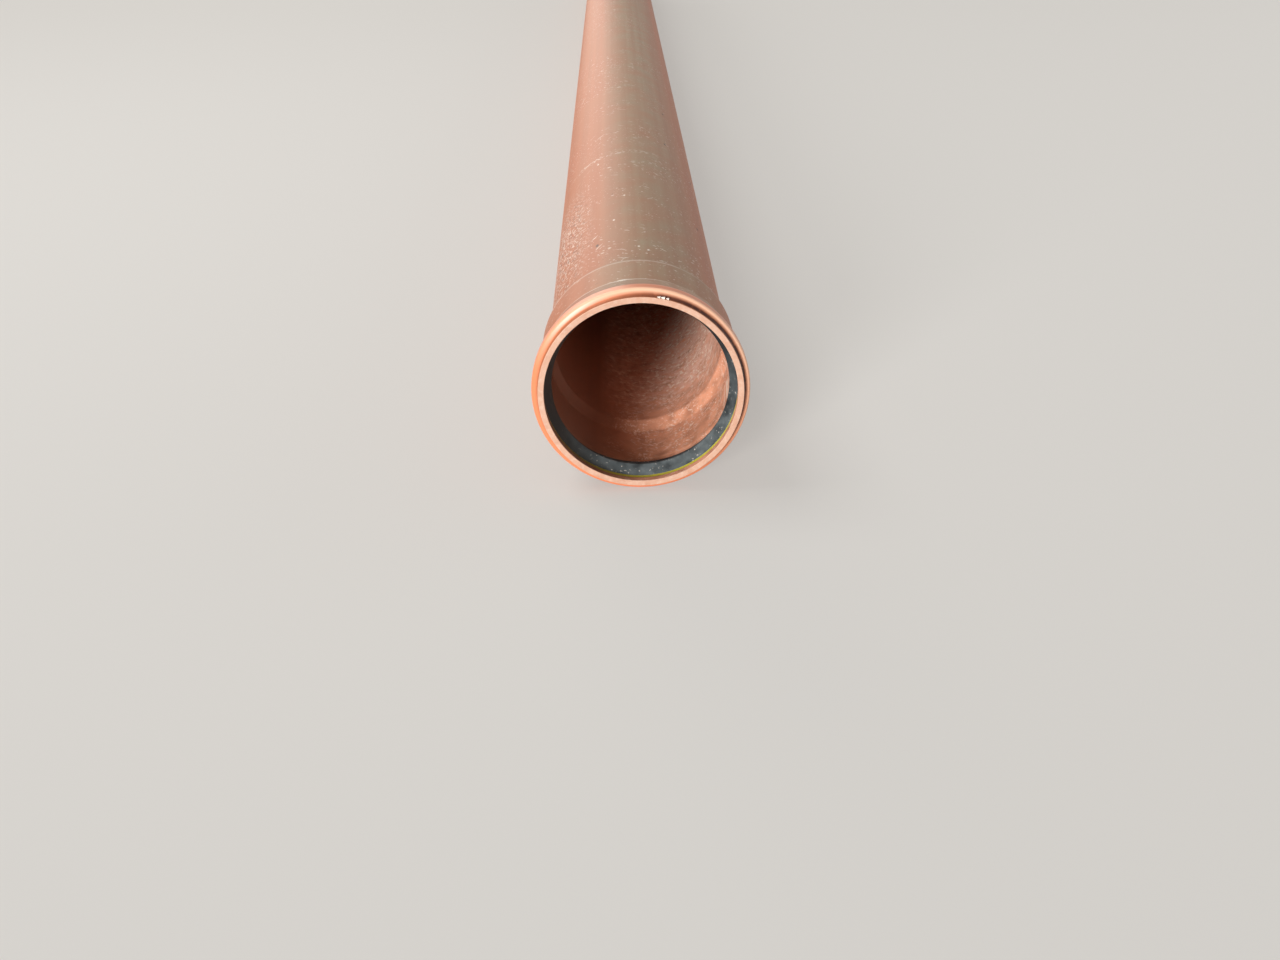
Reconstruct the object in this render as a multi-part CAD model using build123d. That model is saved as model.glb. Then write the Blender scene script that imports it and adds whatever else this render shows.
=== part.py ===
from build123d import *

import os
from math import atan2, cos, radians, sin, tan

# Push-fit drain pipe in orange-brown rigid plastic, with a socket formed on one end.
# Millimetres. The axis is Y. The socket's mouth is at Y = 0 and the plain end points to +Y.

# Barrel of the 160 mm size
outside_diameter = 160.0
barrel_wall = 5.0
laying_length = 3000.0

# Plain end, with the taper that lets it enter the next socket
taper_length = 8.0
taper_angle = 15.0

# Socket, formed hot over a mandrel at the end of the barrel
socket_clearance = 0.4
socket_depth = 92.0
socket_wall = 5.0
shoulder_length = 15.0
shoulder_bend_radius = 12.0
mouth_length = 6.4
mouth_chamfer = 0.5

# Groove that holds the seal, which shows outside as a bead behind the mouth
groove_depth = 6.6
groove_front_length = 3.0
groove_floor_length = 5.1
groove_back_length = 27.5
groove_edge_radius = 1.2
groove_heel_radius = 10.0
bead_wall = 4.0
bead_foot_radius = 2.5
bead_front_radius = 2.5
bead_back_radius = 10.0

# Retaining ring in the front of the groove, and the rubber lip seal behind it
seat_clearance = 0.15
ring_setback = 0.6
retainer_width = 4.4
retainer_to_rubber = 0.1
lip_reach = 5.7
lip_slope_length = 8.6
lip_land_length = 2.4
notch_depth = 2.2
notch_start = 5.0
notch_floor_length = 1.2
notch_length = 7.0
seal_tail_clearance = 6.0

barrel_radius = outside_diameter / 2
bore_radius = barrel_radius - barrel_wall
socket_radius = barrel_radius + socket_clearance
socket_outer_radius = socket_radius + socket_wall
ring_face_radius = socket_radius + ring_setback
groove_radius = socket_radius + groove_depth
bead_radius = groove_radius + bead_wall
total_length = laying_length + socket_depth

# Places along the axis where the inside of the socket changes
groove_front = mouth_length
groove_floor_front = groove_front + groove_front_length
groove_floor_back = groove_floor_front + groove_floor_length
groove_back = groove_floor_back + groove_back_length
shoulder_end = socket_depth + shoulder_length
seal_front = groove_front + retainer_width + retainer_to_rubber


def turned(section):
    """The solid that a section, drawn as radius against distance along the pipe, sweeps round the axis."""
    return revolve(section, Axis.Y, 360)


def bend_shift(straight_wall, slanted_wall, run, rise):
    """How far along the axis a bend's outer corner stands from its inner one, given both its walls."""
    slant = atan2(rise, run)
    return (slanted_wall - straight_wall * cos(slant)) / sin(slant)


def inside_corners():
    """Corners of the pipe's inner surface from mouth to plain end, each with the radius of its bend."""
    return [
        ((socket_radius + mouth_chamfer, 0), 0),
        ((socket_radius, mouth_chamfer), 0),
        ((socket_radius, groove_front), groove_edge_radius),
        ((groove_radius, groove_floor_front), 0),
        ((groove_radius, groove_floor_back), 0),
        ((socket_radius, groove_back), groove_heel_radius),
        ((socket_radius, socket_depth), shoulder_bend_radius),
        ((bore_radius, shoulder_end), shoulder_bend_radius),
        ((bore_radius, total_length), 0),
    ]


def outside_corners():
    """Corners of the pipe's outer surface from plain end to mouth, each with the radius of its bend."""
    step = socket_radius - bore_radius
    foot = bend_shift(socket_wall, bead_wall, groove_front_length, groove_depth)
    crown_front = bend_shift(bead_wall, bead_wall, groove_front_length, groove_depth)
    crown_back = bend_shift(bead_wall, bead_wall, groove_back_length, groove_depth)
    heel = bend_shift(socket_wall, socket_wall, groove_back_length, groove_depth)
    shoulder_top = bend_shift(socket_wall, socket_wall, shoulder_length, step)
    shoulder_foot = bend_shift(barrel_wall, barrel_wall, shoulder_length, step)
    tip_radius = barrel_radius - taper_length * tan(radians(taper_angle))
    return [
        ((tip_radius, total_length), 0),
        ((barrel_radius, total_length - taper_length), 0),
        ((barrel_radius, shoulder_end + shoulder_foot), shoulder_bend_radius),
        ((socket_outer_radius, socket_depth + shoulder_top), shoulder_bend_radius),
        ((socket_outer_radius, groove_back + heel), bead_back_radius),
        ((bead_radius, groove_floor_back + crown_back), bead_back_radius),
        ((bead_radius, groove_floor_front - crown_front), bead_front_radius),
        ((socket_outer_radius, groove_front - foot), bead_foot_radius),
        ((socket_outer_radius, mouth_chamfer), 0),
        ((socket_outer_radius - mouth_chamfer, 0), 0),
    ]


def make_pipe():
    """Barrel, socket, bead and tapered end as the one extruded and formed piece that they are."""
    corners = inside_corners() + outside_corners()
    points = [point for point, radius in corners]
    radii = [radius for point, radius in corners]
    return turned(make_face(FilletPolyline(points, radius=radii, close=True)))


def band(start, end):
    """A section between two places along the axis that reaches past the groove and the lip."""
    middle = Pos(socket_radius, (start + end) / 2)
    return middle * Rectangle(4 * groove_depth, end - start)


def seat_section():
    """The room that the two rings share: the groove, clear of its wall and back from the socket's."""
    groove = make_face(Polyline(
        (socket_radius, groove_front),
        (groove_radius, groove_floor_front),
        (groove_radius, groove_floor_back),
        (socket_radius, groove_back),
        close=True,
    ))
    seat = offset(groove, amount=-seat_clearance, kind=Kind.INTERSECTION)
    past_mouth = Pos(0, total_length / 2) * Rectangle(2 * ring_face_radius, total_length)
    return seat - past_mouth


def lip_and_notch_sections():
    """The lip, a tapered arm that slants in to a narrow land, and the notch behind it that it folds into."""
    land_radius = socket_radius - lip_reach
    notch_radius = ring_face_radius + notch_depth
    land_start = seal_front + lip_slope_length
    land_end = land_start + lip_land_length
    notch_root = seal_front + notch_start
    notch_end = notch_root + notch_length
    lip = make_face(Polyline(
        (ring_face_radius, seal_front),
        (land_radius, land_start),
        (land_radius, land_end),
        (notch_radius, notch_root),
        close=True,
    ))
    notch = make_face(Polyline(
        (notch_radius, notch_root),
        (land_radius, land_end),
        (land_radius, notch_end),
        (ring_face_radius, notch_end),
        (notch_radius, notch_root + notch_floor_length),
        close=True,
    ))
    return lip, notch


def make_retaining_ring():
    """Thin hard ring that fills the front of the groove and keeps the seal from being pushed out."""
    return turned(seat_section() & band(0, seal_front - retainer_to_rubber))


def make_lip_seal():
    """Rubber ring behind the retaining ring: a body that fills the groove, and its sealing lip."""
    body = seat_section() & band(seal_front, groove_back - seal_tail_clearance)
    lip, notch = lip_and_notch_sections()
    return turned(body - notch + lip)


nodes = {
    "pipe": make_pipe(),
    "retaining_ring": make_retaining_ring(),
    "lip_seal": make_lip_seal(),
}

os.makedirs("parts", exist_ok=True)
for name, shape in nodes.items():
    export_step(shape, f"parts/{name}.step")
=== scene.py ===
from math import atan, cos, pi, radians, sin, sqrt, tan
from random import Random

import bmesh
import bpy
from bpy.props import FloatProperty, FloatVectorProperty, IntProperty, PointerProperty
from mathutils import Matrix, Vector


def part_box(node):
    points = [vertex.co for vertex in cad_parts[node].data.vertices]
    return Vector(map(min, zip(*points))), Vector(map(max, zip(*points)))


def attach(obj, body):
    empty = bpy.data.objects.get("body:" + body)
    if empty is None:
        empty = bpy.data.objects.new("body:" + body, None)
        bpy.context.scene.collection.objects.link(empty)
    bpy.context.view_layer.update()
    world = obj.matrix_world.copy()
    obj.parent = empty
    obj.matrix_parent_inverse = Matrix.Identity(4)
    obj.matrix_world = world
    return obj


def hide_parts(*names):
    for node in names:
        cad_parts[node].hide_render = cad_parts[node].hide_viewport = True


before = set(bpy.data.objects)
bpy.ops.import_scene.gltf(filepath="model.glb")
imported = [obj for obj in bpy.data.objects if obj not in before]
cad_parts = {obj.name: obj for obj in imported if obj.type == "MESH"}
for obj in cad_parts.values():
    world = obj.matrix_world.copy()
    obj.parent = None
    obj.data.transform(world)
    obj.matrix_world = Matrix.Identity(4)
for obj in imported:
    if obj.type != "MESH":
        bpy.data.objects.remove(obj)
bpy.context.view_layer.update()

bl_info = {
    "name": "Drain Pipe",
    "version": (1, 0, 0),
    "blender": (4, 5, 0),
    "location": "View3D > Sidebar > Drain Pipe",
    "description": "Push-fit drain pipe with its retaining ring and lip seal",
    "category": "Add Mesh",
}

MM = 0.001
PIPE_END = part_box("pipe")[1].y
BARREL = 80.0 * MM

# Radii of the pipe's bends and trimmed edges, and of the edges that moulding leaves on the rings
SHARP = 0
TRIMMED_EDGE = 0.5 * MM
GROOVE_EDGE_BEND = 1.2 * MM
GROOVE_HEEL_BEND = 10.0 * MM
SHOULDER_BEND = 12.0 * MM
BEAD_FRONT_BEND = 2.5 * MM
BEAD_BACK_BEND = 10.0 * MM
RING_FACE_EDGE = 0.25 * MM
MOULDED_EDGE = 0.3 * MM
HIDDEN_EDGE = 0.2 * MM
LIP_EDGE = 0.4 * MM
TAIL_EDGE = 0.15 * MM

# How finely the shapes are divided
ARC_STEP = radians(6)
FEWEST_ARC_STEPS = 3
LONGEST_RUN = 150 * MM
CREASE = radians(25)

# Stretches along the pipe, from its mouth, that the finishes keep to
RECESS = (1.6 * MM, 6.0 * MM)
STRETCHED = (4.0 * MM, 18 * MM)
BEAD_FACE = (4.8 * MM, 9.0 * MM)
BEAD_TAIL = (15 * MM, 22 * MM)
HEEL_LINE = (42 * MM, 44.6 * MM)
SHOULDER_LINE = (88 * MM, 92 * MM)
DEEP_BORE = (105 * MM, 700 * MM)
STRAP_MARK = (485 * MM, 501 * MM)

# Refractive indices
PVC_IOR = 1.53
RUBBER_IOR = 1.52
POLYPROPYLENE_IOR = 1.49

# What the trimming left: each chip's angle in degrees, length and width in millimetres, just right
# of the rim's top, and then the slivers that hang round the plain end
CHIPS = ((80.6, 2.4, 1.1), (78.4, 3.2, 1.3), (75.9, 2.2, 1.0))
CHIP_LEAN = 0.15
SLIVERS = 26
BURR_SIDES = 5
BURR_TIP_SHARE = 0.35

# The stage: its floor in metres from the middle to an edge, its light and the photo's camera
FLOOR_REACH = 20
FLOOR_CELLS = 8
FLOOR_OWN_COLOUR_SHARE = 0.5
SURROUND_STRENGTH = 0.22
CAMERA_PLACE = (-0.0221, -0.9074, 0.4224)
CAMERA_AIM = (0.02038, 0.87475, -0.48414)
CAMERA_LENS = 34.03
CAMERA_CLIP = 0.01

# The sockets of a colour mix, which have numbers here because their names repeat
MIX_SHARE, MIX_UNDER, MIX_OVER = 0, 6, 7


def linear(hex_colour):
    """Scene-linear red, green, blue and alpha of an sRGB hex colour."""
    parts = [int(hex_colour[i:i + 2], 16) / 255 for i in (1, 3, 5)]
    return tuple(p / 12.92 if p <= 0.04045 else ((p + 0.055) / 1.055) ** 2.4 for p in parts) + (1.0,)


BACKDROP = linear("#E4E1DC")
SURROUND_LIGHT = linear("#FFFBF7")


# Sizes and colours that a user would change


def length_property(name, description, length):
    """A length in metres, for a group of sizes."""
    return FloatProperty(name=name, description=description, default=length, unit="LENGTH")


def colour_property(name, description, hex_colour):
    """A colour, for a group of colours."""
    return FloatVectorProperty(
        name=name, description=description, default=linear(hex_colour), size=4, subtype="COLOR",
        min=0.0, max=1.0)


class PipeSizes(bpy.types.PropertyGroup):
    """Sizes of the pipe, its socket and its plain end."""

    outside_radius: length_property("Outside Radius", "Radius of the barrel's outside", BARREL)
    wall: length_property("Wall", "Wall of the barrel and of the socket", 5.0 * MM)
    bead_wall: length_property(
        "Bead Wall", "Wall where the tube is stretched over the bead", 4.0 * MM)
    socket_clearance: length_property(
        "Socket Clearance", "Radial play of the next pipe in the socket", 0.4 * MM)
    socket_depth: length_property("Socket Depth", "Depth of the socket's straight part", 92.0 * MM)
    shoulder_length: length_property("Shoulder Length", "Cone between socket and barrel", 15.0 * MM)
    mouth_length: length_property("Mouth Length", "Straight wall in front of the groove", 6.4 * MM)
    groove_depth: length_property("Groove Depth", "Depth of the seal's groove", 6.6 * MM)
    groove_front: length_property(
        "Groove Front", "Length of the groove's steep front side", 3.0 * MM)
    groove_floor: length_property("Groove Floor", "Length of the groove's floor", 5.1 * MM)
    groove_back: length_property("Groove Back", "Length of the groove's slow back side", 27.5 * MM)
    taper_length: length_property("Taper Length", "Length of the plain end's taper", 8.0 * MM)
    taper_angle: FloatProperty(
        name="Taper Angle", description="Slope of the plain end's taper", default=radians(15),
        subtype="ANGLE")
    segments: IntProperty(
        name="Segments", description="Segments round the pipe", default=256, min=32, max=512)


class SealSizes(bpy.types.PropertyGroup):
    """Sizes of the retaining ring and of the lip seal behind it."""

    seat: length_property("Seat", "Room between the rings and the groove", 0.15 * MM)
    setback: length_property(
        "Setback", "How far the rings stay back from the socket's wall", 0.6 * MM)
    ring_width: length_property(
        "Ring Width", "Width of the retaining ring from the groove's edge", 4.4 * MM)
    ring_gap: length_property("Ring Gap", "Room between the ring and the rubber", 0.1 * MM)
    lip_reach: length_property(
        "Lip Reach", "How far the lip stands in from the socket's wall", 5.7 * MM)
    lip_slope: length_property("Lip Slope", "Length of the lip's slanted front", 8.6 * MM)
    lip_land: length_property("Lip Land", "Length of the lip's inner edge", 2.4 * MM)
    notch_depth: length_property(
        "Notch Depth", "Depth of the notch that the lip folds into", 2.2 * MM)
    notch_start: length_property(
        "Notch Start", "From the seal's front to the notch's root", 5.0 * MM)
    notch_floor: length_property("Notch Floor", "Length of the notch's flat root", 1.2 * MM)
    notch_length: length_property("Notch Length", "Length of the notch from its root", 7.0 * MM)
    tail_gap: length_property(
        "Tail Gap", "From the seal's tail to the groove's back end", 6.0 * MM)


class PipeColours(bpy.types.PropertyGroup):
    """Colours of the materials."""

    plastic: colour_property("Pipe Plastic", "Orange-brown of the pipe", "#AF6742")
    drawn: colour_property("Drawn Lines", "Darker lines along the outside", "#955737")
    warm: colour_property("Warm Patches", "Redder patches of the outside", "#AF603B")
    # Bore plastic: the inside's plastic, dulled by dust and darkened further as painted shade
    bore: colour_property("Bore Plastic", "Duller brown of the plastic inside the pipe", "#8B5842")
    bore_lines: colour_property("Bore Lines", "Darker lines along the inside", "#7A4D39")
    # Stretched plastic: the bead's clean orange, painted brighter than the skin as painted light
    bead: colour_property(
        "Stretched Plastic", "Clear orange where the tube is stretched over the bead", "#E6885E")
    # Bead front: a painted highlight, pale peach on the bead's front
    painted_bead_highlight: colour_property(
        "Bead Front", "Pale peach on the front of the bead, where it is stretched most", "#F4C6A6")
    cut: colour_property("Cut Face", "Peach of the plastic where the tube was trimmed", "#D0A48B")
    torn: colour_property(
        "Torn Plastic", "Near white of the plastic where the cutter tore it", "#EFE6DC")
    rubber: colour_property("Seal Rubber", "Blue-grey black of the seal", "#1F2528")
    # Rubber dust: grey dust smeared on the seal, and painted light on its lit lower right
    rubber_dust_and_light: colour_property("Rubber Dust", "Grey dust smeared on the seal", "#848E90")
    ring: colour_property("Ring Plastic", "Yellow of the retaining ring", "#EBDF48")
    # Ring dirt: painted shade that browns the ring everywhere but at its lower right
    ring_painted_shade: colour_property("Ring Dirt", "Brown dirt on the retaining ring", "#5A4A26")
    # Dust film: grey-brown dust on top of the pipe, and a painted sheen where the top reflects the
    # light
    film: colour_property("Dust Film", "Grey-brown film of dust on top of the pipe", "#9D8E73")
    # Bore dust and deep dust: dust inside the pipe, painted pale on its lower right as painted light
    bore_dust_and_light: colour_property("Bore Dust", "Warm film of dust inside the socket", "#EEA683")
    deep_dust_and_light: colour_property("Deep Dust", "Paler dust further inside the pipe", "#EAB69F")
    bore_flecks: colour_property("Bore Flecks", "Warm pale flecks inside the pipe", "#F8DAC6")
    grains: colour_property("Grains", "Pale grains and scuffs", "#EADFD2")
    # Dirt: dark dirt and tar, and painted shade in the recess in front of the bead
    dirt_and_shade: colour_property("Dirt", "Dark dirt caught in front of the bead, and tar", "#3E1507")
    floor: colour_property("Floor", "Pale floor of the studio", "#DEDBD6")


# Turned shapes. An outline is a closed list of corners, each a radius, a place along the pipe and
# the radius of its bend


def round_corner(bm, corner, bend):
    """Rounds a corner of a wire outline with an arc of that radius."""
    one, other = [edge.other_vert(corner).co - corner.co for edge in corner.link_edges]
    turn = pi - one.angle(other)
    bmesh.ops.bevel(
        bm, geom=[corner], offset=bend * tan(turn / 2), offset_type="OFFSET",
        segments=max(FEWEST_ARC_STEPS, round(turn / ARC_STEP)), profile=0.5, affect="VERTICES",
        clamp_overlap=False, material=-1)


def turned(outline, segments):
    """A closed solid of revolution round the pipe's axis, with long straight runs divided evenly."""
    bm = bmesh.new()
    corners = [bm.verts.new((radius, along, 0)) for radius, along, _ in outline]
    for here, there in zip(corners, corners[1:] + corners[:1]):
        bm.edges.new((here, there))
    for corner, (_, _, bend) in zip(corners, outline):
        if bend:
            round_corner(bm, corner, bend)
    for run in [edge for edge in bm.edges if edge.calc_length() > LONGEST_RUN]:
        bmesh.ops.subdivide_edges(bm, edges=[run], cuts=int(run.calc_length() / LONGEST_RUN))
    bmesh.ops.spin(
        bm, geom=bm.verts[:] + bm.edges[:], axis=(0, 1, 0), cent=(0, 0, 0), steps=segments,
        angle=2 * pi, use_merge=True)
    bmesh.ops.recalc_face_normals(bm, faces=bm.faces[:])
    return bm


def soften(bm):
    """Smooth shading, with creases kept where two faces meet at more than the crease angle."""
    for face in bm.faces:
        face.smooth = True
    for edge in bm.edges:
        edge.smooth = edge.calc_face_angle(0) < CREASE


def finish_piece(bm, name, materials, replaced=None):
    """Makes the object with its finishes, puts it under its body, and hides the CAD node that it
    stands for.
    """
    mesh = bpy.data.meshes.new(name)
    bm.to_mesh(mesh)
    bm.free()
    piece = bpy.data.objects.new(name, mesh)
    bpy.context.scene.collection.objects.link(piece)
    for material in materials:
        mesh.materials.append(material)
    even_shading = piece.modifiers.new("Even Shading", "WEIGHTED_NORMAL")
    even_shading.keep_sharp = True
    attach(piece, "root")
    if replaced:
        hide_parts(replaced)


def bend_shift(straight_wall, slanted_wall, run, rise):
    """How far along the pipe a bend's outer corner stands from its inner one, given both walls."""
    slant = atan(rise / run)
    return (slanted_wall - straight_wall * cos(slant)) / sin(slant)


def groove_places(sizes):
    """Places along the pipe of the groove's four corners."""
    front = sizes.mouth_length
    floor_front = front + sizes.groove_front
    floor_back = floor_front + sizes.groove_floor
    return front, floor_front, floor_back, floor_back + sizes.groove_back


def pipe_outline(sizes):
    """Inner surface from mouth to plain end, then the outer surface back to the mouth."""
    wall, bead_wall, depth = sizes.wall, sizes.bead_wall, sizes.groove_depth
    socket = sizes.outside_radius + sizes.socket_clearance
    bore = sizes.outside_radius - wall
    groove = socket + depth
    bead = groove + bead_wall
    front, floor_front, floor_back, back = groove_places(sizes)
    shoulder = sizes.socket_depth
    shoulder_end = shoulder + sizes.shoulder_length
    tip = sizes.outside_radius - sizes.taper_length * tan(sizes.taper_angle)
    foot = bend_shift(wall, bead_wall, sizes.groove_front, depth)
    crown_front = bend_shift(bead_wall, bead_wall, sizes.groove_front, depth)
    crown_back = bend_shift(bead_wall, bead_wall, sizes.groove_back, depth)
    heel = bend_shift(wall, wall, sizes.groove_back, depth)
    shoulder_shift = bend_shift(wall, wall, sizes.shoulder_length, socket - bore)
    return [
        (socket, 0, TRIMMED_EDGE),
        (socket, front, GROOVE_EDGE_BEND),
        (groove, floor_front, SHARP),
        (groove, floor_back, SHARP),
        (socket, back, GROOVE_HEEL_BEND),
        (socket, shoulder, SHOULDER_BEND),
        (bore, shoulder_end, SHOULDER_BEND),
        (bore, PIPE_END, SHARP),
        (tip, PIPE_END, SHARP),
        (sizes.outside_radius, PIPE_END - sizes.taper_length, SHARP),
        (sizes.outside_radius, shoulder_end + shoulder_shift, SHOULDER_BEND),
        (socket + wall, shoulder + shoulder_shift, SHOULDER_BEND),
        (socket + wall, back + heel, BEAD_BACK_BEND),
        (bead, floor_back + crown_back, BEAD_BACK_BEND),
        (bead, floor_front - crown_front, BEAD_FRONT_BEND),
        (socket + wall, front - foot, BEAD_FRONT_BEND),
        (socket + wall, 0, TRIMMED_EDGE),
    ]


def seat_corner(seals, depth, run):
    """How far the rings' slanted outside draws back from the groove's corner where it is widest."""
    slope = depth / run
    return seals.seat * (sqrt(1 + slope * slope) - 1) / slope


def ring_outline(sizes, seals):
    """The retaining ring: a wedge that fills the front of the groove."""
    socket = sizes.outside_radius + sizes.socket_clearance
    face = socket + seals.setback
    widest = socket + sizes.groove_depth - seals.seat
    front, floor_front, _, _ = groove_places(sizes)
    slope = sizes.groove_depth / sizes.groove_front
    tip = front + (seals.setback + seals.seat * sqrt(1 + slope * slope)) / slope
    ring_back = front + seals.ring_width
    front_corner = floor_front + seat_corner(seals, sizes.groove_depth, sizes.groove_front)
    return [
        (face, tip, SHARP),
        (face, ring_back, RING_FACE_EDGE),
        (widest, ring_back, HIDDEN_EDGE),
        (widest, front_corner, MOULDED_EDGE),
    ]


def seal_outline(sizes, seals):
    """The lip seal: a body that fills the groove, a slanted lip, and the notch behind the lip."""
    socket = sizes.outside_radius + sizes.socket_clearance
    face = socket + seals.setback
    widest = socket + sizes.groove_depth - seals.seat
    land = socket - seals.lip_reach
    front, _, floor_back, back = groove_places(sizes)
    start = front + seals.ring_width + seals.ring_gap
    lip_start = start + seals.lip_slope
    notch = start + seals.notch_start
    tail = back - seals.tail_gap
    slope = sizes.groove_depth / sizes.groove_back
    tail_radius = socket + seals.tail_gap * slope - seals.seat * sqrt(1 + slope * slope)
    back_corner = floor_back - seat_corner(seals, sizes.groove_depth, sizes.groove_back)
    return [
        (face, start, MOULDED_EDGE),
        (land, lip_start, LIP_EDGE),
        (land, lip_start + seals.lip_land, LIP_EDGE),
        (face + seals.notch_depth, notch, MOULDED_EDGE),
        (face + seals.notch_depth, notch + seals.notch_floor, SHARP),
        (face, notch + seals.notch_length, MOULDED_EDGE),
        (face, tail, TAIL_EDGE),
        (tail_radius, tail, TAIL_EDGE),
        (widest, back_corner, SHARP),
        (widest, start, HIDDEN_EDGE),
    ]


# Patterns that the finishes share. Each goes from 0, where it is absent, to its most, which is a
# value or another pattern. Angles are degrees round the pipe: 0 is its right, 90 its top, 180 its left


def fill(tree, node, inputs):
    """Fills a node's inputs, by name or number, with values, sockets or other nodes' results."""
    for name, value in inputs.items():
        if isinstance(value, bpy.types.Node):
            value = next(output for output in value.outputs if output.enabled)
        if isinstance(value, bpy.types.NodeSocket):
            tree.links.new(value, node.inputs[name])
        else:
            node.inputs[name].default_value = value


def add(tree, kind, inputs=None, **settings):
    """Adds a node with its settings, and fills its inputs."""
    node = tree.nodes.new(kind)
    for name, value in settings.items():
        setattr(node, name, value)
    fill(tree, node, inputs or {})
    return node


def new_material(name):
    """An empty material with its shader, and the place of a point in the pipe's own frame."""
    material = bpy.data.materials.new(name)
    material.use_nodes = True
    tree = material.node_tree
    tree.nodes.clear()
    shader = add(tree, "ShaderNodeBsdfPrincipled")
    add(tree, "ShaderNodeOutputMaterial", {"Surface": shader})
    coordinates = add(tree, "ShaderNodeTexCoord")
    return material, tree, shader, coordinates.outputs["Object"]


def drawn_lines(tree, place, width, most=1.0):
    """Streaks of a width that the extruder's die draws along a pipe, far longer than wide."""
    stretched = add(tree, "ShaderNodeMapping", {"Vector": place, "Scale": (1, 0.006, 1)})
    lines = add(tree, "ShaderNodeTexNoise", {
        "Vector": stretched, "Scale": 1 / width, "Detail": 4, "Roughness": 0.6})
    return add(tree, "ShaderNodeMapRange", {
        "Value": lines, "From Min": 0.35, "From Max": 0.65, "To Max": most})


def clouds(tree, place, size, low, high, most=1.0):
    """Soft patches of a size, absent where the noise is under low and full where it is over high."""
    noise = add(tree, "ShaderNodeTexNoise", {"Vector": place, "Scale": 1 / size, "Detail": 3})
    return add(tree, "ShaderNodeMapRange", {
        "Value": noise, "From Min": low, "From Max": high, "To Max": most})


def grains(tree, place, spacing, size, share, most=1.0):
    """Round grains of a size that lie about a spacing apart, in a share of the cells."""
    cells = add(tree, "ShaderNodeTexVoronoi", {"Vector": place, "Scale": 1 / spacing})
    chance = add(tree, "ShaderNodeSeparateXYZ", {"Vector": cells.outputs["Color"]})
    kept = add(tree, "ShaderNodeMapRange", {
        "Value": chance, "From Min": share, "From Max": share - 0.001, "To Max": most})
    edge, middle = 0.5 * size / spacing, 0.3 * size / spacing
    return add(tree, "ShaderNodeMapRange", {
        "Value": cells, "From Min": edge, "From Max": middle, "To Max": kept})


def flecks(tree, place, size, thin, most=1.0, slender=1, turn=(0, 0, 0)):
    """Uneven flecks about a third of a size wide, fewer the thinner they are sown.

    Slender ones are that many times as long as wide, and lie at a turn.
    """
    lying = add(tree, "ShaderNodeMapping", {
        "Vector": place, "Rotation": turn, "Scale": (1, slender, 1)}, vector_type="TEXTURE")
    noise = add(tree, "ShaderNodeTexNoise", {"Vector": lying, "Scale": 1 / size, "Detail": 2})
    return add(tree, "ShaderNodeMapRange", {
        "Value": noise, "From Min": thin, "From Max": thin + 0.06, "To Max": most})


def on_side(tree, place, angle, narrow, wide, most=1.0):
    """One side of the pipe: full up to narrow degrees either way of an angle, absent past wide ones.

    Both are measured at the barrel's outside.
    """
    direction = (cos(radians(angle)), 0, sin(radians(angle)))
    share = add(tree, "ShaderNodeVectorMath", {0: place, 1: direction}, operation="DOT_PRODUCT")
    low, high = [BARREL * cos(radians(limit)) for limit in (wide, narrow)]
    return add(tree, "ShaderNodeMapRange", {
        "Value": share.outputs["Value"], "From Min": low, "From Max": high, "To Max": most})


def past(tree, place, stretch, most=1.0):
    """Absent in front of a stretch of the pipe, and full behind it."""
    start, end = stretch
    along = add(tree, "ShaderNodeSeparateXYZ", {"Vector": place})
    return add(tree, "ShaderNodeMapRange", {
        "Value": along.outputs["Y"], "From Min": start, "From Max": end, "To Max": most})


def ring_band(tree, place, stretch, fade, most=1.0):
    """A band round the pipe along a stretch of it, fading in and out over a length inside it."""
    start, end = stretch
    along = add(tree, "ShaderNodeSeparateXYZ", {"Vector": place})
    offset = add(tree, "ShaderNodeMath", {
        0: along.outputs["Y"], 1: (start + end) / 2}, operation="SUBTRACT")
    away = add(tree, "ShaderNodeMath", {0: offset}, operation="ABSOLUTE")
    half = (end - start) / 2
    return add(tree, "ShaderNodeMapRange", {
        "Value": away, "From Min": half, "From Max": half - fade, "To Max": most})


def spot(tree, place, along, angle, reach, radius=BARREL, most=1.0):
    """A spot at a place along the pipe and an angle round it, fading out at its reach.

    The reach is a pair: how far it goes across the pipe, and how far along it.
    """
    across, lengthwise = reach
    centre = (radius * cos(radians(angle)), along, radius * sin(radians(angle)))
    moved = add(tree, "ShaderNodeVectorMath", {0: place, 1: centre}, operation="SUBTRACT")
    scaled = add(tree, "ShaderNodeVectorMath", {
        0: moved, 1: (across, lengthwise, across)}, operation="DIVIDE")
    away = add(tree, "ShaderNodeVectorMath", {0: scaled}, operation="LENGTH")
    return add(tree, "ShaderNodeMapRange", {
        "Value": away.outputs["Value"], "From Min": 1.0, "From Max": 0.3, "To Max": most})


def coated(tree, colour, coats):
    """A colour with coats laid over it in turn, each where its mask says."""
    for mask, coat in coats:
        colour = add(tree, "ShaderNodeMix", {
            MIX_SHARE: mask, MIX_UNDER: colour, MIX_OVER: coat}, data_type="RGBA")
    return colour


# Materials


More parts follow.
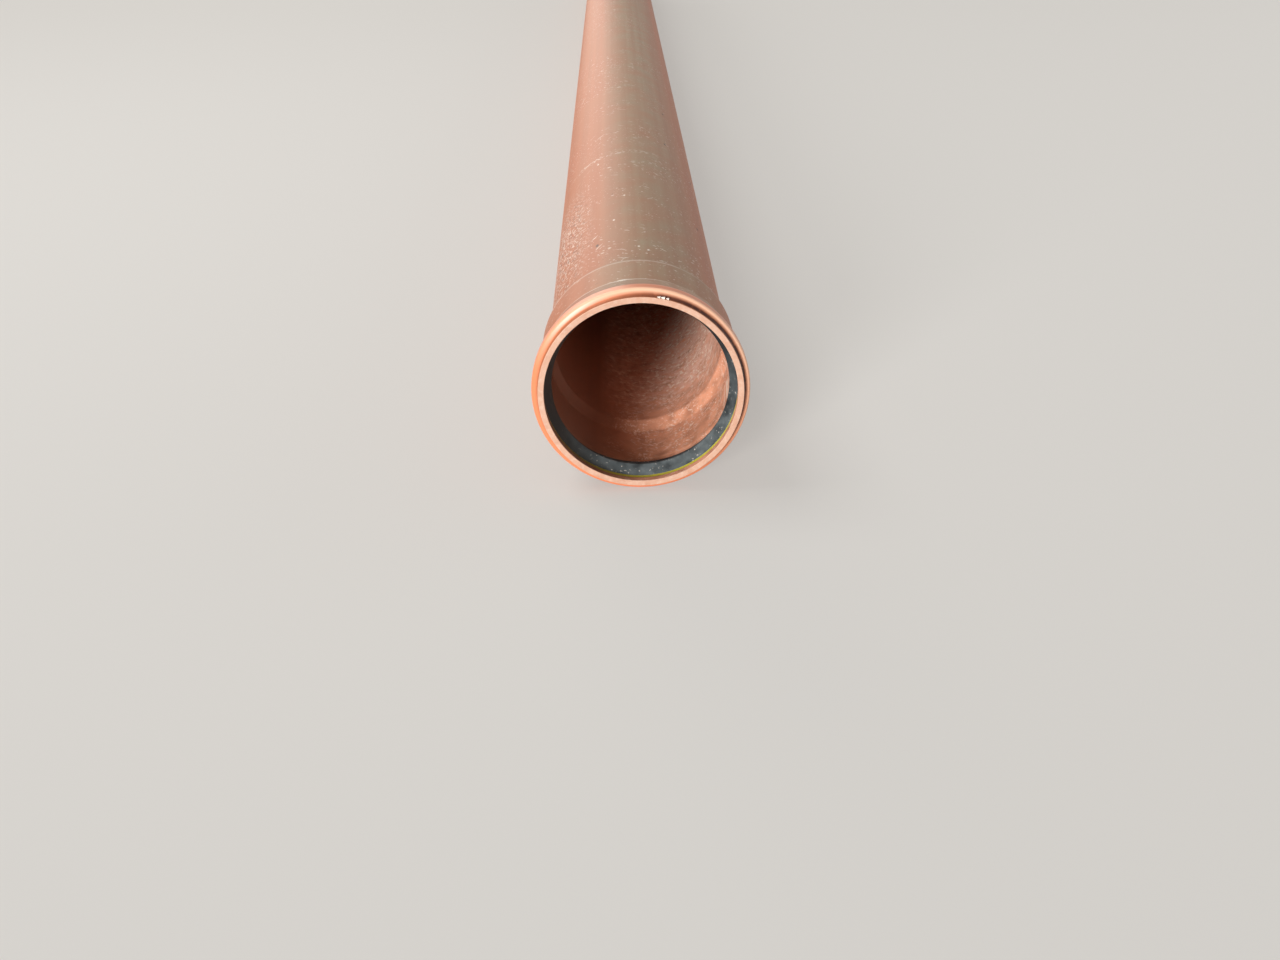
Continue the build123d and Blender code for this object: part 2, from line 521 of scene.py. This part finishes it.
def outside_marks(tree, place):
    """Pale and dark marks that storage and handling left on the outside."""
    # Flecks and scratches crowd in places. Real ones are finer: these are as coarse as the render
    # needs
    behind_bead = past(tree, place, BEAD_TAIL, most=0.7)
    crowded = clouds(tree, place, size=90 * MM, low=0.35, high=0.6, most=behind_bead)
    pale = [
        flecks(tree, place, 3.2 * MM, thin=0.66, most=crowded),
        flecks(tree, place, 6 * MM, thin=0.71, most=crowded),
        flecks(tree, place, 3 * MM, thin=0.67, most=crowded, slender=5, turn=(0, 0, 0.9)),
        flecks(tree, place, 3.4 * MM, thin=0.69, most=crowded, slender=7, turn=(0.4, 0, -0.6)),
    ]

    # A frosted stretch on the left flank, a strap's broken rub mark and chips on the bead's heel
    sandy = spot(tree, place, 250 * MM, angle=150, reach=(44 * MM, 200 * MM), most=0.7)
    upper_left = on_side(tree, place, angle=112, narrow=20, wide=50, most=0.6)
    strap = ring_band(tree, place, STRAP_MARK, fade=5 * MM, most=upper_left)
    chipped = spot(tree, place, 43 * MM, angle=100, reach=(9 * MM, 3 * MM), radius=86 * MM)
    pale += [
        flecks(tree, place, 2.8 * MM, thin=0.56, most=sandy),
        flecks(tree, place, 2.8 * MM, thin=0.6, most=sandy, slender=4, turn=(0.5, 0, 0.5)),
        flecks(tree, place, 4 * MM, thin=0.55, most=strap),
        flecks(tree, place, 2.6 * MM, thin=0.42, most=chipped),
    ]

    # Pale broken lines round the bead's heel and round the shoulder
    pale_heel_line = clouds(tree, place, size=30 * MM, low=0.3, high=0.55, most=0.6)
    pale_shoulder_line = clouds(tree, place, size=40 * MM, low=0.3, high=0.55, most=0.35)
    pale += [
        ring_band(tree, place, HEEL_LINE, fade=1 * MM, most=pale_heel_line),
        ring_band(tree, place, SHOULDER_LINE, fade=1.5 * MM, most=pale_shoulder_line),
    ]

    # Single white nicks and spots of tar, by their millimetres from the mouth and their angle
    nicks = ((136, 83), (145, 89), (234, 105), (312, 97), (468, 118), (1112, 109))
    tar = ((174, 117), (299, 36), (502, 29), (573, 58), (753, 54))
    pale += [spot(tree, place, along * MM, angle, (1.5 * MM, 3 * MM)) for along, angle in nicks]
    dark = [spot(tree, place, along * MM, angle, (2.2 * MM, 5 * MM)) for along, angle in tar]
    dark += [
        flecks(tree, place, 4 * MM, thin=0.7, most=crowded),
        flecks(tree, place, 5 * MM, thin=0.6, most=sandy),
    ]
    return pale, dark


def extruded_outside(colours):
    """Rigid PVC-U as extruded, stored outdoors."""
    # To the eye: a satin orange-brown skin with faint drawn lines, greyed on top by dust and painted
    # sheen, and a clear orange bead, painted bright as painted light, with a painted highlight on its
    # front
    material, tree, shader, place = new_material("Extruded PVC-U outside")
    streaks = drawn_lines(tree, place, width=12 * MM, most=0.42)
    warm = clouds(tree, place, size=90 * MM, low=0.35, high=0.65, most=0.6)

    # Dust settles along the top behind the bead, with a painted sheen of reflected light there too;
    # handling rubs the bead clean
    behind_bead = past(tree, place, BEAD_TAIL)
    top = on_side(tree, place, angle=77, narrow=8, wide=41, most=behind_bead)
    film = clouds(tree, place, size=35 * MM, low=-0.3, high=0.85, most=top)

    # Forming stretches the bead. It is clean, and its orange is painted brighter than the skin's as
    # painted light
    stretched = ring_band(tree, place, STRETCHED, fade=1.5 * MM, most=0.9)
    # A painted highlight: pale peach on the bead's front, on its upper right where the light glints
    upper_right = on_side(tree, place, angle=60, narrow=30, wide=110, most=0.8)
    bead_highlight_band = ring_band(tree, place, BEAD_FACE, fade=1.2 * MM, most=upper_right)

    # Dirt and painted shade darken the recess in front of the bead, thickest on the right, where shade
    # falls
    right = on_side(tree, place, angle=35, narrow=20, wide=72)
    caught = ring_band(tree, place, RECESS, fade=1.2 * MM, most=right)
    dirt_and_shade = clouds(tree, place, size=4 * MM, low=-0.1, high=0.5, most=caught)

    coats = [
        (warm, colours.warm),
        (film, colours.film),
        (streaks, colours.drawn),
        (stretched, colours.bead),
        (bead_highlight_band, colours.painted_bead_highlight),
        (dirt_and_shade, colours.dirt_and_shade),
    ]
    pale, dark = outside_marks(tree, place)
    coats += [(mark, colours.grains) for mark in pale] + [(mark, colours.dirt_and_shade) for mark in dark]

    # The bead is smoother than the skin, and weathering takes some of the shine off both
    fill(tree, shader, {
        "Base Color": coated(tree, colours.plastic, coats),
        "Roughness": add(tree, "ShaderNodeMapRange", {
            "Value": stretched, "To Min": 0.48, "To Max": 0.28}),
        "Normal": add(tree, "ShaderNodeBump", {
            "Strength": 0.5, "Distance": 0.1 * MM, "Height": streaks}),
        "Specular IOR Level": 0.38,
        "IOR": PVC_IOR,
    })
    return material


def extruded_inside(colours):
    """Rigid PVC-U as extruded, on the inside."""
    # To the eye: a duller brown than outside, from dust and painted shade, with a warm pale film of
    # dust and painted light, and pale flecks, along its lower right
    material, tree, shader, place = new_material("Extruded PVC-U bore")
    streaks = drawn_lines(tree, place, width=6 * MM, most=0.3)

    # Dust has drifted to the lower right, where the light falls, and is painted pale there as painted
    # light, and paler further in
    low = on_side(tree, place, angle=-40, narrow=25, wide=80)
    film = clouds(tree, place, size=14 * MM, low=0.0, high=0.6, most=low)
    further_in = ring_band(tree, place, DEEP_BORE, fade=60 * MM, most=low)
    deep = clouds(tree, place, size=6 * MM, low=0.3, high=0.62, most=further_in)

    # Flecks and streaks lie in it, as coarse as the render needs, and a rub mark on the right
    lowest = on_side(tree, place, angle=-40, narrow=40, wide=76, most=0.8)
    drifted = clouds(tree, place, size=25 * MM, low=0.35, high=0.65, most=lowest)
    rubbed = spot(tree, place, 66 * MM, angle=-14, reach=(24 * MM, 40 * MM), most=0.8)
    first = flecks(tree, place, 2.6 * MM, thin=0.6, most=drifted)
    loose = [
        first,
        flecks(tree, place, 2.4 * MM, thin=0.6, most=drifted, slender=3, turn=(0, 0, 0.9)),
        flecks(tree, place, 2.4 * MM, thin=0.62, most=drifted, slender=4, turn=(0.8, 0, -0.7)),
        flecks(tree, place, 4.5 * MM, thin=0.6, most=further_in),
        flecks(tree, place, 4.5 * MM, thin=0.61, most=further_in, slender=3, turn=(0.6, 0, 0.7)),
        grains(tree, place, spacing=8 * MM, size=2.0 * MM, share=0.5, most=drifted),
        flecks(tree, place, 3 * MM, thin=0.5, most=rubbed, slender=6, turn=(0.2, 0, 0)),
    ]
    coats = [
        (streaks, colours.bore_lines),
        (film, colours.bore_dust_and_light),
        (deep, colours.deep_dust_and_light),
    ]
    coats += [(mark, colours.bore_flecks) for mark in loose]
    fill(tree, shader, {
        # The base is dulled by dust and darkened as painted shade inside the pipe
        "Base Color": coated(tree, colours.bore, coats),
        "Roughness": add(tree, "ShaderNodeMapRange", {
            "Value": film, "To Min": 0.42, "To Max": 0.7}),
        "Normal": add(tree, "ShaderNodeBump", {
            "Strength": 0.8, "Distance": 0.2 * MM, "Height": first}),
        "IOR": PVC_IOR,
    })
    return material


def trimmed_plastic(colours):
    """Rigid PVC-U where a cutter trimmed it."""
    # To the eye: peach, paler than the skin, matt and faintly mottled
    material, tree, shader, place = new_material("Trimmed PVC-U")
    coats = [
        (clouds(tree, place, size=12 * MM, low=0.4, high=0.7, most=0.3), colours.plastic),
        (clouds(tree, place, size=4 * MM, low=0.5, high=0.7, most=0.2), colours.grains),
    ]
    rough = clouds(tree, place, size=1.5 * MM, low=0.35, high=0.65)
    fill(tree, shader, {
        "Base Color": coated(tree, colours.cut, coats),
        "Roughness": 0.5,
        "Normal": add(tree, "ShaderNodeBump", {
            "Strength": 0.5, "Distance": 0.1 * MM, "Height": rough}),
        "IOR": PVC_IOR,
    })
    return material


def torn_plastic(colours):
    """Rigid PVC-U where the cutter tore it."""
    # To the eye: whitened by the strain, nearly white and dull
    material, tree, shader, place = new_material("Torn PVC-U")
    coats = [(clouds(tree, place, size=2 * MM, low=0.5, high=0.7, most=0.5), colours.cut)]
    fill(tree, shader, {
        "Base Color": coated(tree, colours.torn, coats),
        "Roughness": 0.6,
        "IOR": PVC_IOR,
    })
    return material


def moulded_rubber(colours):
    """Moulded seal rubber."""
    # To the eye: blue-black and dull, with pale dust and painted light smeared round its bottom
    # and right
    material, tree, shader, place = new_material("Moulded seal rubber")
    # Pale smears round the bottom and right: dust, and painted light where the light falls
    low = on_side(tree, place, angle=-60, narrow=30, wide=95)
    dust_and_light_smears = clouds(tree, place, size=12 * MM, low=0.3, high=1.0, most=low)

    # Flecks and grains of dust, as coarse as the render needs
    dusty = clouds(tree, place, size=20 * MM, low=0.4, high=0.65, most=low)
    specks = flecks(tree, place, 2.4 * MM, thin=0.64, most=dusty)
    coats = [
        (dust_and_light_smears, colours.rubber_dust_and_light),
        (specks, colours.grains),
        (grains(tree, place, spacing=9 * MM, size=1.2 * MM, share=0.15, most=low), colours.grains),
    ]
    fill(tree, shader, {
        "Base Color": coated(tree, colours.rubber, coats),
        "Roughness": add(tree, "ShaderNodeMapRange", {
            "Value": dust_and_light_smears, "To Min": 0.5, "To Max": 0.9}),
        "Normal": add(tree, "ShaderNodeBump", {
            "Strength": 0.5, "Distance": 0.15 * MM, "Height": specks}),
        "IOR": RUBBER_IOR,
    })
    return material


def moulded_ring_plastic(colours):
    """Moulded polypropylene."""
    # To the eye: yellow and slightly waxy, browned by painted shade everywhere but at its lower right
    material, tree, shader, place = new_material("Moulded polypropylene")
    coats = [
        # Painted shade browns the ring everywhere but at its lower right, where the light falls
        (on_side(tree, place, angle=135, narrow=95, wide=145, most=0.85), colours.ring_painted_shade),
        (clouds(tree, place, size=5 * MM, low=0.5, high=0.75, most=0.3), colours.film),
    ]
    fill(tree, shader, {
        "Base Color": coated(tree, colours.ring, coats),
        "Roughness": 0.42,
        "IOR": POLYPROPYLENE_IOR,
    })
    return material


def matt_floor(colours):
    """Matt painted board."""
    # To the eye: even and pale, with the pipe's shadow on it. Half of what is seen is the paint's
    # own pale colour
    material, tree, shader, _ = new_material("Matt painted floor")
    fill(tree, shader, {"Base Color": colours.floor, "Roughness": 0.9})
    rays = add(tree, "ShaderNodeLightPath")
    seen = add(tree, "ShaderNodeMath", {
        0: rays.outputs["Is Camera Ray"], 1: rays.outputs["Is Glossy Ray"]}, operation="MAXIMUM")
    share = add(tree, "ShaderNodeMapRange", {"Value": seen, "To Max": FLOOR_OWN_COLOUR_SHARE})
    paint = add(tree, "ShaderNodeEmission", {"Color": BACKDROP, "Strength": 1.0})
    mixed = add(tree, "ShaderNodeMixShader", {0: share, 1: shader, 2: paint})
    fill(tree, tree.nodes["Material Output"], {"Surface": mixed})
    return material


# Operators: one for each piece or group of pieces, and one for the stage


class DRAINPIPE_OT_pipe(bpy.types.Operator):
    """Turn the pipe, with its socket, bead, shoulder and tapered plain end"""

    bl_idname = "drain_pipe.make_pipe"
    bl_label = "Make Pipe"

    def execute(self, context):
        sizes, colours = context.scene.pipe_sizes, context.scene.pipe_colours
        bm = turned(pipe_outline(sizes), sizes.segments)
        soften(bm)
        materials = [extruded_outside(colours), extruded_inside(colours), trimmed_plastic(colours)]
        outside, inside, trimmed = range(len(materials))
        taper_start = PIPE_END - sizes.taper_length
        end_face_start = PIPE_END - 0.01 * MM
        for face in bm.faces:
            middle = face.calc_center_median()
            outward = face.normal.dot(Vector((middle.x, 0, middle.z))) > 0
            tapered = middle.y > taper_start and outward
            cut = tapered or middle.y < TRIMMED_EDGE or middle.y > end_face_start
            face.material_index = trimmed if cut else outside if outward else inside
        finish_piece(bm, "pipe_wall", materials, replaced="pipe")
        return {"FINISHED"}


class DRAINPIPE_OT_retaining_ring(bpy.types.Operator):
    """Turn the thin yellow ring that keeps the seal in its groove"""

    bl_idname = "drain_pipe.make_retaining_ring"
    bl_label = "Make Retaining Ring"

    def execute(self, context):
        scene = context.scene
        bm = turned(ring_outline(scene.pipe_sizes, scene.seal_sizes), scene.pipe_sizes.segments)
        soften(bm)
        material = moulded_ring_plastic(scene.pipe_colours)
        finish_piece(bm, "yellow_ring", [material], replaced="retaining_ring")
        return {"FINISHED"}


class DRAINPIPE_OT_lip_seal(bpy.types.Operator):
    """Turn the rubber seal, with its slanted lip and the notch behind it"""

    bl_idname = "drain_pipe.make_lip_seal"
    bl_label = "Make Lip Seal"

    def execute(self, context):
        scene = context.scene
        bm = turned(seal_outline(scene.pipe_sizes, scene.seal_sizes), scene.pipe_sizes.segments)
        soften(bm)
        material = moulded_rubber(scene.pipe_colours)
        finish_piece(bm, "rubber_seal", [material], replaced="lip_seal")
        return {"FINISHED"}


def add_burr(bm, radius, along, angle, length, width, lean):
    """A sliver of plastic left by the cutter, partly sunk in the edge that it hangs on."""
    outward = Vector((cos(angle), 0, sin(angle)))
    round_the_edge = Vector((-sin(angle), lean, cos(angle))).normalized()
    turn = round_the_edge.to_track_quat("Z", "X").to_matrix().to_4x4()
    middle = Matrix.Translation(outward * radius + Vector((0, along, 0)))
    bmesh.ops.create_cone(
        bm, cap_ends=True, segments=BURR_SIDES, radius1=width, radius2=BURR_TIP_SHARE * width,
        depth=length, matrix=middle @ turn)


class DRAINPIPE_OT_burrs(bpy.types.Operator):
    """Add the chips on the mouth's rim and the saw's slivers round the plain end"""

    bl_idname = "drain_pipe.make_burrs"
    bl_label = "Make Burrs"

    def execute(self, context):
        sizes, colours = context.scene.pipe_sizes, context.scene.pipe_colours
        bm = bmesh.new()
        chip_radius = sizes.outside_radius + sizes.socket_clearance + sizes.wall + 0.5 * MM
        chip_place = 1.5 * MM
        for degrees, length, width in CHIPS:
            add_burr(
                bm, chip_radius, chip_place, radians(degrees), length * MM, width * MM, CHIP_LEAN)
        sliver_radius = sizes.outside_radius - sizes.wall + 0.15 * MM
        sliver_place = PIPE_END - 0.6 * MM
        dice = Random(7)
        for _ in range(SLIVERS):
            angle = dice.uniform(0, 2 * pi)
            length = dice.uniform(1.2, 4.5) * MM
            width = dice.uniform(0.15, 0.3) * MM
            lean = dice.uniform(-0.08, 0.0)
            add_burr(bm, sliver_radius, sliver_place, angle, length, width, lean)
        finish_piece(bm, "trim_burrs", [torn_plastic(colours)])
        return {"FINISHED"}


def add_lamp(kind, name, place, target, power, **shape):
    """A soft lamp at a place, turned to its target."""
    lamp = bpy.data.lights.new(name, kind)
    lamp.energy = power
    for setting, value in shape.items():
        setattr(lamp, setting, value)
    holder = bpy.data.objects.new(name, lamp)
    holder.location = place
    holder.rotation_euler = (Vector(target) - Vector(place)).to_track_quat("-Z", "Y").to_euler()
    bpy.context.scene.collection.objects.link(holder)


def light_the_pipe():
    """A low key from the front left that shines into the mouth, and three soft boxes.

    They light the pipe's top, its far end and its right.
    """
    near, middle = (0, 0.8, 0), (0, 1.6, 0)
    add_lamp("SUN", "Key", (-0.47, -0.87, 0.16), (0, 0, 0), power=3.8, angle=radians(20))
    add_lamp("AREA", "Over", (-1.7, 0.5, 2.6), near, power=38, size=1.6)
    add_lamp(
        "AREA", "Back", (-3.0, 8.4, 2.6), near, power=150, size=4.8, color=(1.0, 0.92, 0.8))
    add_lamp("AREA", "Fill", (4.0, 1.6, 1.0), middle, power=30, size=3.0)


def pale_world():
    """An even pale surround that lights the pipe softly, and is the backdrop above the floor."""
    world = bpy.data.worlds.new("Soft surround")
    bpy.context.scene.world = world
    world.use_nodes = True
    tree = world.node_tree
    tree.nodes.clear()
    rays = add(tree, "ShaderNodeLightPath")
    mirrored = add(tree, "ShaderNodeMath", {
        0: rays.outputs["Is Glossy Ray"],
        1: rays.outputs["Is Transmission Ray"],
    }, operation="MAXIMUM")
    seen = add(tree, "ShaderNodeMath", {
        0: rays.outputs["Is Camera Ray"], 1: mirrored}, operation="MAXIMUM")
    light = add(tree, "ShaderNodeBackground", {
        "Color": SURROUND_LIGHT, "Strength": SURROUND_STRENGTH})
    backdrop = add(tree, "ShaderNodeBackground", {"Color": BACKDROP, "Strength": 1.0})
    mixed = add(tree, "ShaderNodeMixShader", {0: seen, 1: light, 2: backdrop})
    add(tree, "ShaderNodeOutputWorld", {"Surface": mixed})


def add_floor(sizes, colours):
    """The floor that the pipe lies on.

    The pipe is level and rests on its bead and its plain end, so the floor rises by the difference
    of their radii.
    """
    bead = sizes.outside_radius + sizes.socket_clearance + sizes.groove_depth + sizes.bead_wall
    _, _, bead_place, _ = groove_places(sizes)
    run = PIPE_END - sizes.taper_length - bead_place
    rise = atan((bead - sizes.outside_radius) / run)
    bm = bmesh.new()
    bmesh.ops.create_grid(
        bm, x_segments=FLOOR_CELLS, y_segments=FLOOR_CELLS, size=FLOOR_REACH,
        matrix=Matrix.Translation((0, bead_place, -bead)) @ Matrix.Rotation(rise, 4, "X"))
    mesh = bpy.data.meshes.new("floor")
    bm.to_mesh(mesh)
    bm.free()
    mesh.materials.append(matt_floor(colours))
    floor = bpy.data.objects.new("floor", mesh)
    bpy.context.scene.collection.objects.link(floor)


def add_camera():
    """The photo's camera, in the pipe's frame."""
    lens = bpy.data.cameras.new("Camera")
    lens.lens = CAMERA_LENS
    lens.clip_start = CAMERA_CLIP
    camera = bpy.data.objects.new("Camera", lens)
    camera.location = CAMERA_PLACE
    camera.rotation_euler = Vector(CAMERA_AIM).to_track_quat("-Z", "Y").to_euler()
    bpy.context.scene.collection.objects.link(camera)
    bpy.context.scene.camera = camera


class DRAINPIPE_OT_stage(bpy.types.Operator):
    """Set up the pale floor, the soft light and the camera"""

    bl_idname = "drain_pipe.make_stage"
    bl_label = "Make Stage"

    def execute(self, context):
        add_floor(context.scene.pipe_sizes, context.scene.pipe_colours)
        light_the_pipe()
        pale_world()
        add_camera()
        context.scene.view_settings.view_transform = "Standard"
        return {"FINISHED"}


class DRAINPIPE_PT_panel(bpy.types.Panel):
    """Lists the sizes, the colours and what can be made"""

    bl_label = "Drain Pipe"
    bl_idname = "DRAINPIPE_PT_panel"
    bl_space_type = "VIEW_3D"
    bl_region_type = "UI"
    bl_category = "Drain Pipe"

    def draw(self, context):
        scene = context.scene
        for group in (scene.pipe_sizes, scene.seal_sizes, scene.pipe_colours):
            column = self.layout.column(align=True)
            for name in group.__annotations__:
                column.prop(group, name)
        for operator in OPERATORS:
            self.layout.operator(operator.bl_idname)


OPERATORS = (
    DRAINPIPE_OT_pipe,
    DRAINPIPE_OT_retaining_ring,
    DRAINPIPE_OT_lip_seal,
    DRAINPIPE_OT_burrs,
    DRAINPIPE_OT_stage,
)
CLASSES = (PipeSizes, SealSizes, PipeColours) + OPERATORS + (DRAINPIPE_PT_panel,)


def register():
    for item in CLASSES:
        bpy.utils.register_class(item)
    bpy.types.Scene.pipe_sizes = PointerProperty(type=PipeSizes)
    bpy.types.Scene.seal_sizes = PointerProperty(type=SealSizes)
    bpy.types.Scene.pipe_colours = PointerProperty(type=PipeColours)


def unregister():
    del bpy.types.Scene.pipe_colours
    del bpy.types.Scene.seal_sizes
    del bpy.types.Scene.pipe_sizes
    for item in reversed(CLASSES):
        bpy.utils.unregister_class(item)


def main():
    register()
    bpy.ops.drain_pipe.make_pipe()
    bpy.ops.drain_pipe.make_retaining_ring()
    bpy.ops.drain_pipe.make_lip_seal()
    bpy.ops.drain_pipe.make_burrs()
    bpy.ops.drain_pipe.make_stage()


if __name__ == "__main__":
    main()
